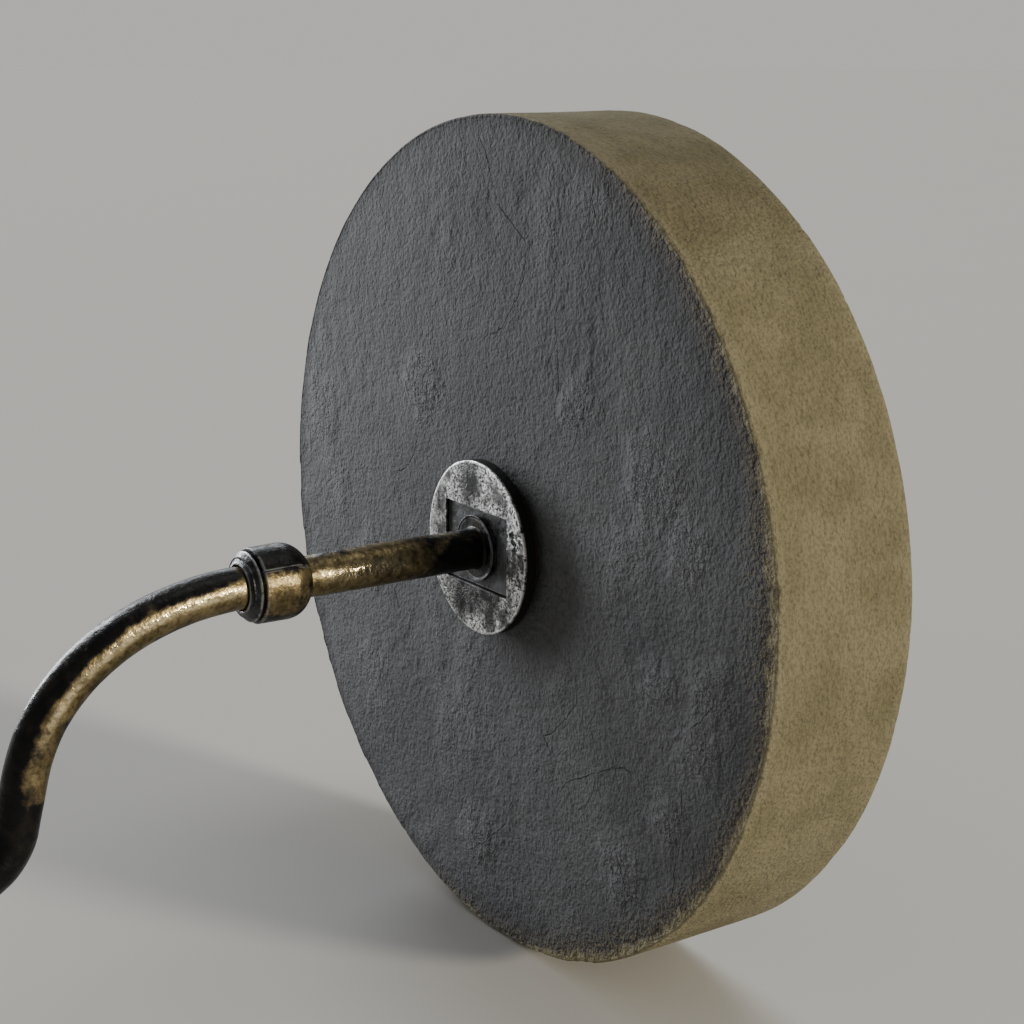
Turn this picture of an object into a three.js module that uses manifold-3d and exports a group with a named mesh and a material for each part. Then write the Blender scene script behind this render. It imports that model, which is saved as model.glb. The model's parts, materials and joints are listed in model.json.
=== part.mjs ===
// A hand-cranked grindstone on its axle, with the two split bearings that a stand would carry.
// Millimetres, +Z up. The origin is the stone's centre. The axle lies along Y, and its crank
// is at the -Y end, hanging straight down.

import * as THREE from 'three';
import { mergeVertices } from 'three/addons/utils/BufferGeometryUtils.js';
import Module from 'manifold-3d';

const wasm = await Module();
wasm.setup();

// ---------- driving dimensions ----------

const GAP = 0.3; // left between pieces that touch

const STONE_RADIUS = 250;
const STONE_WIDTH = 92;
const STONE_EDGE_ROUND = 3;
const EYE_SIDE = 60; // square eye through the stone
const FACE_Y = -STONE_WIDTH / 2; // the near face

const PACKING_RADIUS = 47;
const PACKING_THICKNESS = 5;
const FLANGE_RADIUS = 52;
const FLANGE_THICKNESS = 8.3;
const POCKET_WIDTH = 65; // rectangular pocket in the flange's outer face
const POCKET_HEIGHT = 47;
const POCKET_DEPTH = 5.3;
const HUB_PLATE_THICKNESS = 3;

const BAR_RADIUS = 12.2; // the forged bar
const JOURNAL_RADIUS = 11.9; // the bar where it is turned for the bearings
const SHANK_SIDE = 28; // square shank inside the stone
const COLLAR_RADIUS = 19.8; // forged collar in front of the near hub plate
const COLLAR_THICKNESS = 3;
const THREAD_RADIUS = 12;
const THREAD_PITCH = 3;
const FAR_END = 196; // distance of the axle's plain end from the far face

const BARREL_START = 128; // distances of the bearing's parts from the stone's face
const BARREL_SHOULDER = 142;
const BARREL_END = 159.8;
const SPIGOT_END = 165;
const RING_START = 161.2;
const RING_END = 167;
const RING_RADIUS = 19.8;
const RING_NOSE_RADIUS = 13.9;
const RING_BORE = 12.9;
const BARREL_RADIUS = 21.6;
const BARREL_LIP = 13; // radius of the hole in the barrel's rounded end
const LIP_THICKNESS = 3.5;
const SHOULDER_RISE = 5.5; // how far its tangents' meeting point lies behind the barrel's start
const SPIGOT_RADIUS = 16.5;
const BARREL_BORE = 15.3;
const BUSH_RADIUS = 15;
const BUSH_BORE = 12.5;
const BUSH_START = 134.5; // the felt seal lies between the lip and the bush
const PARTING_TILT = THREE.MathUtils.degToRad(35); // of the plane that splits the bearing
const SEAT_DEPTH = 1; // of the flat on the bearing's underside

const CRANK_START = 165; // where the bar begins to bend
const CRANK_EASE = 65; // length of the curve's first handle
const CRANK_TURN = 51; // length of its second handle
const ARM_START = 292; // where the straight arm begins
const ARM_DROP = 81.7; // and how far it is below the axle there
const ARM_ANGLE = THREE.MathUtils.degToRad(76); // of the arm below the horizontal
const ARM_LENGTH = 28;
const PIN_BEND_RADIUS = 36;
const PIN_SHOULDER = 346;
const PIN_RADIUS = 8;
const PIN_END = 500;

const FASTENING_BORE = THREAD_RADIUS + GAP;
const WASHER_RADIUS = 22.5;
const WASHER_THICKNESS = 4;
const NUT_ACROSS_FLATS = 36;
const NUT_THICKNESS = 19;
const LOCK_NUT_THICKNESS = 10;
const THRUST_COLLAR_RADIUS = 20;
const THRUST_COLLAR_THICKNESS = 14;
const THRUST_PLAY = 1.5; // between a thrust collar and the bearing
const SET_SCREW_RADIUS = 4;
const SET_SCREW_HEAD = 10; // across its square head
const SET_SCREW_HEAD_HEIGHT = 7;

const GRIP_START = 350.2;
const GRIP_LENGTH = 124;
const GRIP_BORE = 10.2;
const FERRULE_LENGTH = 10;
const FERRULE_RADIUS = 13.6;
const TENON_RADIUS = 12;
const GRIP_END_RADIUS = 13.4; // of the grip's body beside a ferrule
const GRIP_SWELL = 4.6; // how much thicker it is at its belly
const GRIP_PLAY = 0.8; // between the grip and its outer washer
const PIN_WASHER_RADIUS = 15;
const PIN_WASHER_THICKNESS = 3;
const PIN_NUT_ACROSS_FLATS = 24;
const PIN_NUT_THICKNESS = 12;
const COTTER_AT = PIN_END - 5;
const COTTER_RADIUS = 1.6;
const COTTER_LENGTH = 26;
const COTTER_EYE_RADIUS = 3;

// ---------- solids ----------

// Turns a closed geometry into a solid with its faces pointing out.
function toSolid(geometry) {
  const bare = geometry.clone();
  bare.deleteAttribute('normal');
  bare.deleteAttribute('uv');
  const merged = mergeVertices(bare, 1e-4);
  const position = merged.getAttribute('position');
  const index = merged.getIndex().array;
  const corners = [new THREE.Vector3(), new THREE.Vector3(), new THREE.Vector3()];
  const triangles = [];
  let volume = 0;
  for (let i = 0; i < index.length; i += 3) {
    const [a, b, c] = [index[i], index[i + 1], index[i + 2]];
    if (a === b || b === c || c === a) continue;
    triangles.push([a, b, c]);
    corners[0].fromBufferAttribute(position, a);
    corners[1].fromBufferAttribute(position, b);
    corners[2].fromBufferAttribute(position, c);
    volume += corners[0].dot(corners[1].cross(corners[2])) / 6;
  }
  const outward = volume > 0 ? triangles : triangles.map(([a, b, c]) => [a, c, b]);
  return new wasm.Manifold(new wasm.Mesh({
    numProp: 3,
    vertProperties: new Float32Array(position.array),
    triVerts: new Uint32Array(outward.flat()),
  }));
}

function toGeometry(solid) {
  const mesh = solid.getMesh();
  const geometry = new THREE.BufferGeometry();
  geometry.setAttribute('position', new THREE.BufferAttribute(mesh.vertProperties, 3));
  geometry.setIndex(new THREE.BufferAttribute(mesh.triVerts, 1));
  return geometry;
}

// A shape turned about the axle's line. The outline is a list of [radius, y].
function turned(outline, segments) {
  const points = outline.map(([radius, y]) => new THREE.Vector2(radius, y));
  return toSolid(new THREE.LatheGeometry(points, segments));
}

// A turned ring, whose outline closes on itself.
function turnedRing(outline, segments) {
  return turned([...outline, outline[0]], segments);
}

// A plain ring between two distances along the near side's axis.
function washer(inner, outer, from, to, segments) {
  return turnedRing([
    [inner, outY(from)], [outer, outY(from)], [outer, outY(to)], [inner, outY(to)],
  ], segments);
}

function box(width, depth, height, x, y, z) {
  return toSolid(new THREE.BoxGeometry(width, depth, height).translate(x, y, z));
}

// A hexagon nut, its corners rounded by a turned blank.
function hexNut(acrossFlats, bore, from, to) {
  const corner = acrossFlats / Math.sqrt(3);
  const chamfer = 2;
  const hexagon = new THREE.CylinderGeometry(corner, corner, to - from, 6);
  hexagon.translate(0, outY((from + to) / 2), 0);
  const flat = acrossFlats / 2;
  const blank = turnedRing([
    [bore, outY(from)], [flat, outY(from)], [corner, outY(from + chamfer)],
    [corner, outY(to - chamfer)], [flat, outY(to)], [bore, outY(to)],
  ], 36);
  return toSolid(hexagon).intersect(blank);
}

// The y of a point on the near side, from its distance to the near face.
function outY(distance) {
  return FACE_Y - distance;
}

// ---------- materials ----------

function material(color, roughness, metalness) {
  return new THREE.MeshStandardMaterial({ color, roughness, metalness });
}

const MATERIALS = {
  stone: material(0x6d6f6e, 0.95, 0),
  worn_steel: material(0xa9a9a7, 0.45, 0.9),
  dark_steel: material(0x3b3a38, 0.5, 0.85),
  aged_brass: material(0x8a7340, 0.38, 0.95),
  bronze: material(0x9a7b4a, 0.4, 0.95),
  packing_leather: material(0x3a2a1c, 0.85, 0),
  felt: material(0x4b3a28, 1, 0),
  wedge_oak: material(0x8d6a42, 0.8, 0),
  grip_wood: material(0x6f4a2a, 0.55, 0),
};

function addPiece(parent, name, solid, slot) {
  const geometry = toGeometry(solid);
  const mesh = new THREE.Mesh(geometry, MATERIALS[slot]);
  mesh.name = name;
  parent.add(mesh);
}

// ---------- the stone and its wedges ----------

function grindstone() {
  const half = STONE_WIDTH / 2;
  const round = STONE_EDGE_ROUND;
  const corner = (a) => [
    STONE_RADIUS - round * (1 - Math.cos(a)),
    half - round * (1 - Math.sin(a)),
  ];
  const farEdge = [0, Math.PI / 4, Math.PI / 2].map(corner);
  const nearEdge = farEdge.map(([radius, y]) => [radius, -y]).reverse();
  const wheel = turned([[0, -half], ...nearEdge, ...farEdge, [0, half]], 96);
  return wheel.subtract(box(EYE_SIDE, STONE_WIDTH + 2, EYE_SIDE, 0, 0, 0));
}

// One of a pair of folding wedges, between the shank and the eye's +X wall.
function wedge(innerOne) {
  const length = STONE_WIDTH - 8;
  const width = SHANK_SIDE - 1;
  const inner = SHANK_SIDE / 2 + GAP;
  const outer = EYE_SIDE / 2 - GAP;
  const slope = 2.5; // how far the shared face leans from its middle to each end
  const middle = (inner + outer) / 2;
  const side = innerOne ? -GAP / 2 : GAP / 2;
  const wall = innerOne ? inner : outer;
  const outline = new THREE.Shape([
    new THREE.Vector2(wall, -length / 2),
    new THREE.Vector2(middle + slope + side, -length / 2),
    new THREE.Vector2(middle - slope + side, length / 2),
    new THREE.Vector2(wall, length / 2),
  ]);
  const shape = new THREE.ExtrudeGeometry(outline, { depth: width, bevelEnabled: false });
  return toSolid(shape.translate(0, 0, -width / 2));
}

function addWedges(parent) {
  ['right', 'top', 'left', 'bottom'].forEach((side, quarter) => {
    const turn = new THREE.Group();
    turn.rotation.y = -quarter * Math.PI / 2;
    addPiece(turn, `near_wedge_${side}`, wedge(true), 'wedge_oak');
    addPiece(turn, `far_wedge_${side}`, wedge(false), 'wedge_oak');
    parent.add(turn);
  });
}

// ---------- the clamping plates, the same on both sides ----------

const FLANGE_BACK = PACKING_THICKNESS + 2 * GAP;
const FLANGE_FRONT = FLANGE_BACK + FLANGE_THICKNESS;
const POCKET_FLOOR = FLANGE_FRONT - POCKET_DEPTH;
const PLATE_FRONT = POCKET_FLOOR + GAP + HUB_PLATE_THICKNESS;
const SHANK_HOLE = SHANK_SIDE + 2 * GAP;

function flange() {
  const bevel = 1;
  const disc = turned([
    [0, outY(FLANGE_BACK)], [FLANGE_RADIUS - bevel, outY(FLANGE_BACK)],
    [FLANGE_RADIUS, outY(FLANGE_BACK + bevel)], [FLANGE_RADIUS, outY(FLANGE_FRONT - bevel)],
    [FLANGE_RADIUS - bevel, outY(FLANGE_FRONT)], [0, outY(FLANGE_FRONT)],
  ], 48);
  const pocket = box(POCKET_WIDTH, 2 * POCKET_DEPTH, POCKET_HEIGHT, 0, outY(FLANGE_FRONT), 0);
  const hole = box(SHANK_HOLE, 40, SHANK_HOLE, 0, outY(FLANGE_FRONT), 0);
  return disc.subtract(pocket).subtract(hole);
}

function hubPlate() {
  const middle = outY(PLATE_FRONT - HUB_PLATE_THICKNESS / 2);
  const width = POCKET_WIDTH - 2 * GAP;
  const height = POCKET_HEIGHT - 2 * GAP;
  const plate = box(width, HUB_PLATE_THICKNESS, height, 0, middle, 0);
  return plate.subtract(box(SHANK_HOLE, 20, SHANK_HOLE, 0, middle, 0));
}

function packingWasher() {
  const disc = washer(1, PACKING_RADIUS, GAP, GAP + PACKING_THICKNESS, 36);
  return disc.subtract(box(SHANK_HOLE, 40, SHANK_HOLE, 0, FACE_Y, 0));
}

function addClampingPlates(parent, side) {
  addPiece(parent, `${side}_packing_washer`, packingWasher(), 'packing_leather');
  addPiece(parent, `${side}_flange`, flange(), 'worn_steel');
  addPiece(parent, `${side}_hub_plate`, hubPlate(), 'dark_steel');
}

// ---------- the split bearing, the same on both sides ----------

// The barrel's outline: a rounded shoulder towards the stone, a body and a spigot for the ring.
function barrelOutline() {
  const lipBack = outY(BARREL_START + LIP_THICKNESS);
  const shoulder = new THREE.QuadraticBezierCurve(
    new THREE.Vector2(BARREL_LIP, BARREL_START),
    new THREE.Vector2(BARREL_RADIUS, BARREL_START + SHOULDER_RISE),
    new THREE.Vector2(BARREL_RADIUS, BARREL_SHOULDER),
  ).getPoints(5).map((point) => [point.x, outY(point.y)]);
  return [
    ...shoulder,
    [BARREL_RADIUS - 0.3, outY(BARREL_END)], [SPIGOT_RADIUS, outY(BARREL_END)],
    [SPIGOT_RADIUS, outY(SPIGOT_END)], [BARREL_BORE, outY(SPIGOT_END)],
    [BARREL_BORE, lipBack], [BARREL_LIP, lipBack],
  ];
}

// Half of a solid, on one side of the plane that splits the bearing.
function halfOf(solid, upper) {
  const reach = 80;
  const cutter = new THREE.BoxGeometry(2 * reach, 3 * reach, reach);
  cutter.translate(0, 0, (upper ? -1 : 1) * (reach / 2 - GAP / 2));
  cutter.rotateY(-PARTING_TILT);
  cutter.translate(0, outY(BARREL_END), 0);
  return solid.subtract(toSolid(cutter));
}

function barrelHalf(upper) {
  const half = halfOf(turnedRing(barrelOutline(), 36), upper);
  const seatZ = -(BARREL_RADIUS - SEAT_DEPTH);
  return half.subtract(box(60, 80, 20, 0, outY(BARREL_START), seatZ - 10));
}

function bush() {
  return washer(BUSH_BORE, BUSH_RADIUS, BUSH_START, SPIGOT_END - GAP, 24);
}

function feltSeal() {
  const start = BARREL_START + LIP_THICKNESS + GAP;
  return washer(BUSH_BORE + 0.1, BUSH_RADIUS, start, BUSH_START - GAP, 24);
}

function retainingRing() {
  const inside = SPIGOT_RADIUS + GAP;
  const clear = outY(SPIGOT_END + GAP);
  return turnedRing([
    [inside, outY(RING_START)], [RING_RADIUS, outY(RING_START)],
    [RING_RADIUS, outY(RING_START + 0.8)], [RING_NOSE_RADIUS, outY(RING_END)],
    [RING_BORE, outY(RING_END)], [RING_BORE, clear], [inside, clear],
  ], 36);
}

function addBearing(parent, side) {
  addPiece(parent, `${side}_bearing_cap`, barrelHalf(true), 'aged_brass');
  addPiece(parent, `${side}_bearing_body`, barrelHalf(false), 'aged_brass');
  addPiece(parent, `${side}_bush_cap_half`, halfOf(bush(), true), 'bronze');
  addPiece(parent, `${side}_bush_body_half`, halfOf(bush(), false), 'bronze');
  addPiece(parent, `${side}_felt_seal`, feltSeal(), 'felt');
  addPiece(parent, `${side}_retaining_ring`, retainingRing(), 'dark_steel');
}

// ---------- the axle and crank, one forged bar ----------

const COLLAR_START = PLATE_FRONT + GAP;
const COLLAR_END = COLLAR_START + COLLAR_THICKNESS;
const FAR_SHANK_END = PLATE_FRONT - 2;
const THREAD_END = 54; // distance of the thread's end from the far face
const JOURNAL_START = 120;
const SWEEP_START = 150; // the swept crank begins inside the near bearing

// The y of a point on the far side, from its distance to the far face.
function farY(distance) {
  return -outY(distance);
}

function straightAxle() {
  const chamfer = 2;
  const thread = [];
  for (let at = THREAD_END; at > THREAD_END - 8; at -= THREAD_PITCH) {
    thread.push([THREAD_RADIUS - 1.2, farY(at)], [THREAD_RADIUS, farY(at - THREAD_PITCH / 2)]);
  }
  return turned([
    [0, farY(FAR_END)], [JOURNAL_RADIUS - chamfer, farY(FAR_END)],
    [JOURNAL_RADIUS, farY(FAR_END - chamfer)], [JOURNAL_RADIUS, farY(THREAD_END + 1)],
    ...thread, [THREAD_RADIUS, 0], [BAR_RADIUS, 0], [BAR_RADIUS, outY(COLLAR_START)],
    [COLLAR_RADIUS - 0.6, outY(COLLAR_START)], [COLLAR_RADIUS, outY(COLLAR_START + 0.6)],
    [COLLAR_RADIUS, outY(COLLAR_END - 1)], [COLLAR_RADIUS - 1, outY(COLLAR_END)],
    [BAR_RADIUS + 2, outY(COLLAR_END)], [BAR_RADIUS, outY(COLLAR_END + 1)],
    [BAR_RADIUS, outY(JOURNAL_START)], [JOURNAL_RADIUS, outY(JOURNAL_START + 1)],
    [JOURNAL_RADIUS, outY(SWEEP_START + 4)], [0, outY(SWEEP_START + 4)],
  ], 24);
}

// A point of the crank's centre line, from its distance to the near face and its drop.
function crankPoint(distance, drop) {
  return new THREE.Vector3(0, outY(distance), -drop);
}

// The crank's centre line: straight, an easy bend down, the arm, and a tighter bend to the pin.
function crankPath() {
  const along = Math.cos(ARM_ANGLE);
  const down = Math.sin(ARM_ANGLE);
  const armEnd = [ARM_START + ARM_LENGTH * along, ARM_DROP + ARM_LENGTH * down];
  const bendCentre = [armEnd[0] + PIN_BEND_RADIUS * down, armEnd[1] - PIN_BEND_RADIUS * along];
  const path = new THREE.CurvePath();
  path.add(new THREE.LineCurve3(crankPoint(SWEEP_START, 0), crankPoint(CRANK_START, 0)));
  path.add(new THREE.CubicBezierCurve3(
    crankPoint(CRANK_START, 0),
    crankPoint(CRANK_START + CRANK_EASE, 0),
    crankPoint(ARM_START - CRANK_TURN * along, ARM_DROP - CRANK_TURN * down),
    crankPoint(ARM_START, ARM_DROP),
  ));
  path.add(new THREE.LineCurve3(crankPoint(ARM_START, ARM_DROP), crankPoint(...armEnd)));
  const steps = 10;
  let last = crankPoint(...armEnd);
  for (let i = 1; i <= steps; i += 1) {
    const angle = ARM_ANGLE * (1 - i / steps);
    const next = crankPoint(
      bendCentre[0] - PIN_BEND_RADIUS * Math.sin(angle),
      bendCentre[1] + PIN_BEND_RADIUS * Math.cos(angle),
    );
    path.add(new THREE.LineCurve3(last, next));
    last = next;
  }
  path.add(new THREE.LineCurve3(last, new THREE.Vector3(0, outY(PIN_SHOULDER), last.z)));
  return path;
}

const BEND_DROP = PIN_BEND_RADIUS * (1 - Math.cos(ARM_ANGLE));
const PIN_Z = -(ARM_DROP + ARM_LENGTH * Math.sin(ARM_ANGLE) + BEND_DROP);

function sweptCrank() {
  const section = new THREE.Shape().absarc(0, 0, BAR_RADIUS, 0, 2 * Math.PI);
  return toSolid(new THREE.ExtrudeGeometry(section, {
    extrudePath: crankPath(), steps: 36, curveSegments: 12, bevelEnabled: false,
  }));
}

function crankPin() {
  const pin = turned([
    [0, outY(PIN_SHOULDER - 4)], [PIN_RADIUS, outY(PIN_SHOULDER - 4)],
    [PIN_RADIUS, outY(PIN_END - 1)], [PIN_RADIUS - 1, outY(PIN_END)], [0, outY(PIN_END)],
  ], 24);
  const hole = new THREE.CylinderGeometry(COTTER_RADIUS + GAP, COTTER_RADIUS + GAP, 40, 12);
  hole.rotateX(Math.PI / 2).translate(0, outY(COTTER_AT), 0);
  return pin.subtract(toSolid(hole)).translate([0, 0, PIN_Z]);
}

function axleCrank() {
  const shankLength = FAR_SHANK_END + STONE_WIDTH + COLLAR_START + 1;
  const shankMiddle = (farY(FAR_SHANK_END) + outY(COLLAR_START + 1)) / 2;
  const shank = box(SHANK_SIDE, shankLength, SHANK_SIDE, 0, shankMiddle, 0);
  return straightAxle().add(shank).add(sweptCrank()).add(crankPin());
}

// ---------- what is on the far end of the axle ----------

function thrustCollar(from) {
  const to = from + THRUST_COLLAR_THICKNESS;
  const ring = washer(JOURNAL_RADIUS + GAP, THRUST_COLLAR_RADIUS, from, to, 28);
  const holeRadius = SET_SCREW_RADIUS + GAP;
  const depth = THRUST_COLLAR_RADIUS;
  const hole = new THREE.CylinderGeometry(holeRadius, holeRadius, depth, 16);
  hole.rotateX(Math.PI / 2).translate(0, outY((from + to) / 2), JOURNAL_RADIUS + depth / 2);
  return ring.subtract(toSolid(hole));
}

// A square-headed screw, standing in the thrust collar's tapped hole.
function setScrew(from) {
  const y = outY(from + THRUST_COLLAR_THICKNESS / 2);
  const tip = JOURNAL_RADIUS + GAP;
  const headBottom = THRUST_COLLAR_RADIUS + GAP;
  const length = headBottom - tip + 1;
  const shank = new THREE.CylinderGeometry(SET_SCREW_RADIUS, SET_SCREW_RADIUS, length, 16);
  shank.rotateX(Math.PI / 2).translate(0, y, tip + length / 2);
  const headMiddle = headBottom + SET_SCREW_HEAD_HEIGHT / 2;
  const head = box(SET_SCREW_HEAD, SET_SCREW_HEAD, SET_SCREW_HEAD_HEIGHT, 0, y, headMiddle);
  return toSolid(shank).add(head);
}

function addFarNuts(parent) {
  const washerEnd = COLLAR_START + WASHER_THICKNESS;
  const nutStart = washerEnd + GAP;
  const nutEnd = nutStart + NUT_THICKNESS;
  const lockNutStart = nutEnd + GAP;
  const lockNutEnd = lockNutStart + LOCK_NUT_THICKNESS;
  const plain = washer(FASTENING_BORE, WASHER_RADIUS, COLLAR_START, washerEnd, 32);
  const nut = hexNut(NUT_ACROSS_FLATS, FASTENING_BORE, nutStart, nutEnd);
  const lockNut = hexNut(NUT_ACROSS_FLATS, FASTENING_BORE, lockNutStart, lockNutEnd);
  addPiece(parent, 'far_washer', plain, 'dark_steel');
  addPiece(parent, 'far_nut', nut, 'dark_steel');
  addPiece(parent, 'far_lock_nut', lockNut, 'dark_steel');
}

function addThrustCollars(parent) {
  const collars = {
    inner: BARREL_START - THRUST_PLAY - THRUST_COLLAR_THICKNESS,
    outer: RING_END + THRUST_PLAY,
  };
  Object.entries(collars).forEach(([place, from]) => {
    addPiece(parent, `far_${place}_thrust_collar`, thrustCollar(from), 'dark_steel');
    addPiece(parent, `far_${place}_set_screw`, setScrew(from), 'dark_steel');
  });
}

// ---------- the handle, built about its own axis and lowered onto the crank's pin ----------

function gripWood() {
  const end = GRIP_START + GRIP_LENGTH;
  const bodyStart = GRIP_START + FERRULE_LENGTH + GAP;
  const bodyEnd = end - FERRULE_LENGTH - GAP;
  const radius = (t) => GRIP_END_RADIUS + GRIP_SWELL * Math.sin(Math.PI * t ** 0.85) ** 0.8;
  const steps = 8;
  const body = [];
  for (let i = 0; i <= steps; i += 1) {
    const t = i / steps;
    body.push([radius(t), outY(THREE.MathUtils.lerp(bodyStart, bodyEnd, t))]);
  }
  return turnedRing([
    [GRIP_BORE, outY(GRIP_START)], [TENON_RADIUS, outY(GRIP_START)],
    [TENON_RADIUS, outY(bodyStart)], ...body, [TENON_RADIUS, outY(bodyEnd)],
    [TENON_RADIUS, outY(end)], [GRIP_BORE, outY(end)],
  ], 24);
}

function ferrule(from) {
  return washer(TENON_RADIUS + GAP, FERRULE_RADIUS, from, from + FERRULE_LENGTH, 24);
}

function cotterPin() {
  const shank = new THREE.CylinderGeometry(COTTER_RADIUS, COTTER_RADIUS, COTTER_LENGTH, 10);
  shank.rotateX(Math.PI / 2);
  const eye = new THREE.TorusGeometry(COTTER_EYE_RADIUS, COTTER_RADIUS * 0.75, 8, 16);
  eye.rotateY(Math.PI / 2).translate(0, 0, COTTER_LENGTH / 2 + 2);
  return toSolid(shank).add(toSolid(eye)).translate([0, outY(COTTER_AT), 0]);
}

function addGrip(parent) {
  const end = GRIP_START + GRIP_LENGTH;
  const liner = washer(PIN_RADIUS + GAP, GRIP_BORE - GAP, GRIP_START, end, 24);
  addPiece(parent, 'grip_wood', gripWood(), 'grip_wood');
  addPiece(parent, 'grip_inner_ferrule', ferrule(GRIP_START), 'bronze');
  addPiece(parent, 'grip_outer_ferrule', ferrule(end - FERRULE_LENGTH), 'bronze');
  addPiece(parent, 'grip_liner', liner, 'bronze');
}

function pinWasher(from) {
  return washer(PIN_RADIUS + GAP, PIN_WASHER_RADIUS, from, from + PIN_WASHER_THICKNESS, 24);
}

function addPinFastenings(parent) {
  const outerWasher = GRIP_START + GRIP_LENGTH + GRIP_PLAY;
  const nutStart = outerWasher + PIN_WASHER_THICKNESS + GAP;
  const nutEnd = nutStart + PIN_NUT_THICKNESS;
  const nut = hexNut(PIN_NUT_ACROSS_FLATS, PIN_RADIUS + GAP, nutStart, nutEnd);
  addPiece(parent, 'pin_inner_washer', pinWasher(PIN_SHOULDER + GAP), 'dark_steel');
  addPiece(parent, 'pin_outer_washer', pinWasher(outerWasher), 'dark_steel');
  addPiece(parent, 'pin_nut', nut, 'dark_steel');
  addPiece(parent, 'cotter_pin', cotterPin(), 'worn_steel');
}

// ---------- assembly ----------

const grinder = new THREE.Group();
addPiece(grinder, 'grindstone', grindstone(), 'stone');
addPiece(grinder, 'axle_crank', axleCrank(), 'aged_brass');
addWedges(grinder);
addClampingPlates(grinder, 'near');
addBearing(grinder, 'near');

const farSide = new THREE.Group();
farSide.rotation.z = Math.PI;
addClampingPlates(farSide, 'far');
addBearing(farSide, 'far');
addFarNuts(farSide);
addThrustCollars(farSide);
grinder.add(farSide);

const handle = new THREE.Group();
handle.position.z = PIN_Z;
addGrip(handle);
addPinFastenings(handle);
grinder.add(handle);

export default grinder;
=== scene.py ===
"""Fine meshes and materials for a hand-cranked grindstone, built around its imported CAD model.

Metres, +Z up. The axle lies along Y through the origin, with the crank at the -Y end.
"""
import json
import math
from functools import partial, reduce

import bmesh
import bpy
import numpy as np
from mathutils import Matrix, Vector, noise


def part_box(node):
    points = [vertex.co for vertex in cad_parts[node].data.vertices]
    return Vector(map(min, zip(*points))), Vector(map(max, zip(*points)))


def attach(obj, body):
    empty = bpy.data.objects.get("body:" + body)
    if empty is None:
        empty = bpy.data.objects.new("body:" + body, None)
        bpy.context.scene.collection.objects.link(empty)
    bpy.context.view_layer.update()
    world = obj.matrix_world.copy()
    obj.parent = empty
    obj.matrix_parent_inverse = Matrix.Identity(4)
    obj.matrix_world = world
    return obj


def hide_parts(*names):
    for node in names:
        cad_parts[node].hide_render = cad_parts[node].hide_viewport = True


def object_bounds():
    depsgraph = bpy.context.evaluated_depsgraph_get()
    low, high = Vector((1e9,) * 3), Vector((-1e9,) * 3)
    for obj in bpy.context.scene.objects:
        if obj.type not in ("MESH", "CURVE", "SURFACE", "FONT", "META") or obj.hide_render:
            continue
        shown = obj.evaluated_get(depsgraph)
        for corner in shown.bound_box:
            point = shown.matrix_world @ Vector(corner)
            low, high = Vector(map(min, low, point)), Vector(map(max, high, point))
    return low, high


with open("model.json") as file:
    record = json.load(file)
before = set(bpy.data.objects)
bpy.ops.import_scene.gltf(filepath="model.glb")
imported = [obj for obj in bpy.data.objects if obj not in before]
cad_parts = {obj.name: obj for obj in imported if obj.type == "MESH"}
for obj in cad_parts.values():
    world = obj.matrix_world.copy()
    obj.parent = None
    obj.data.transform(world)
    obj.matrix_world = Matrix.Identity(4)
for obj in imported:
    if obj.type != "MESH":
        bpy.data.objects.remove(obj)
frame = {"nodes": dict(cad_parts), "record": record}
CAD_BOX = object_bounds()

MM = 0.001
RECORD = frame["record"]
SLOT_OF = {part["node"]: part["material_slot"] for part in RECORD["subparts"]}
BODY_OF = {node: body for body, nodes in RECORD["behaviour"]["bodies"].items() for node in nodes}

# ---------- sizes, taken from the frame ----------

STONE_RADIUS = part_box("grindstone")[1].x
HALF_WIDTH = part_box("grindstone")[1].y
FACE = -HALF_WIDTH  # y of the near face
EYE_SIDE = 60 * MM
GAP = 0.3 * MM  # between pieces that touch

PIN_Z = (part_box("pin_nut")[0].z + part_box("pin_nut")[1].z) / 2  # height of the crank's pin
FAR_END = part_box("axle_crank")[1].y
PIN_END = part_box("axle_crank")[0].y
BAR_RADIUS = 12.2 * MM
JOURNAL_RADIUS = 11.9 * MM
SHANK_SIDE = 28 * MM
THREAD_RADIUS = 12 * MM
THREAD_PITCH = 3 * MM
PIN_RADIUS = 8 * MM
PARTING_TILT = math.radians(35)  # of the plane that splits each bearing


def out_y(distance):
    """y of a point on the near side, from its distance to the near face, or that distance from y."""
    return FACE - distance


# ---------- sections: stations of [radius, y], each all the way round ----------


def angles(count):
    return np.arange(count) * 2 * math.pi / count


def box_radius(width, height, corner, count):
    """Distance from the middle to the outline of a box with rounded corners, at each angle."""
    turn = angles(count)
    across, up = np.abs(np.cos(turn)) + 1e-9, np.abs(np.sin(turn)) + 1e-9
    reach = np.minimum(width / 2 / across, height / 2 / up)
    middle = np.array([width / 2 - corner, height / 2 - corner])
    in_corner = (reach * across > middle[0]) & (reach * up > middle[1])
    along = across * middle[0] + up * middle[1]
    inside = np.maximum(along**2 - (middle @ middle - corner**2), 0)
    return np.where(in_corner, along + np.sqrt(inside), reach)


def hexagon_radius(across_flats, count):
    """The same for a hexagon with a corner at the top."""
    turn = (angles(count) - math.pi / 2) % (math.pi / 3) - math.pi / 6
    return across_flats / 2 / np.cos(turn)


def curve(handles, t):
    """The point at t, from 0 to 1, of the Bezier curve with these handles."""
    while len(handles) > 1:
        handles = [a * (1 - t) + b * t for a, b in zip(handles, handles[1:])]
    return handles[0]


def towards(start, end, distance):
    gap = np.linalg.norm(end - start, axis=1, keepdims=True)
    return start + (end - start) * np.minimum(distance / np.maximum(gap, 1e-9), 0.5)


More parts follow.
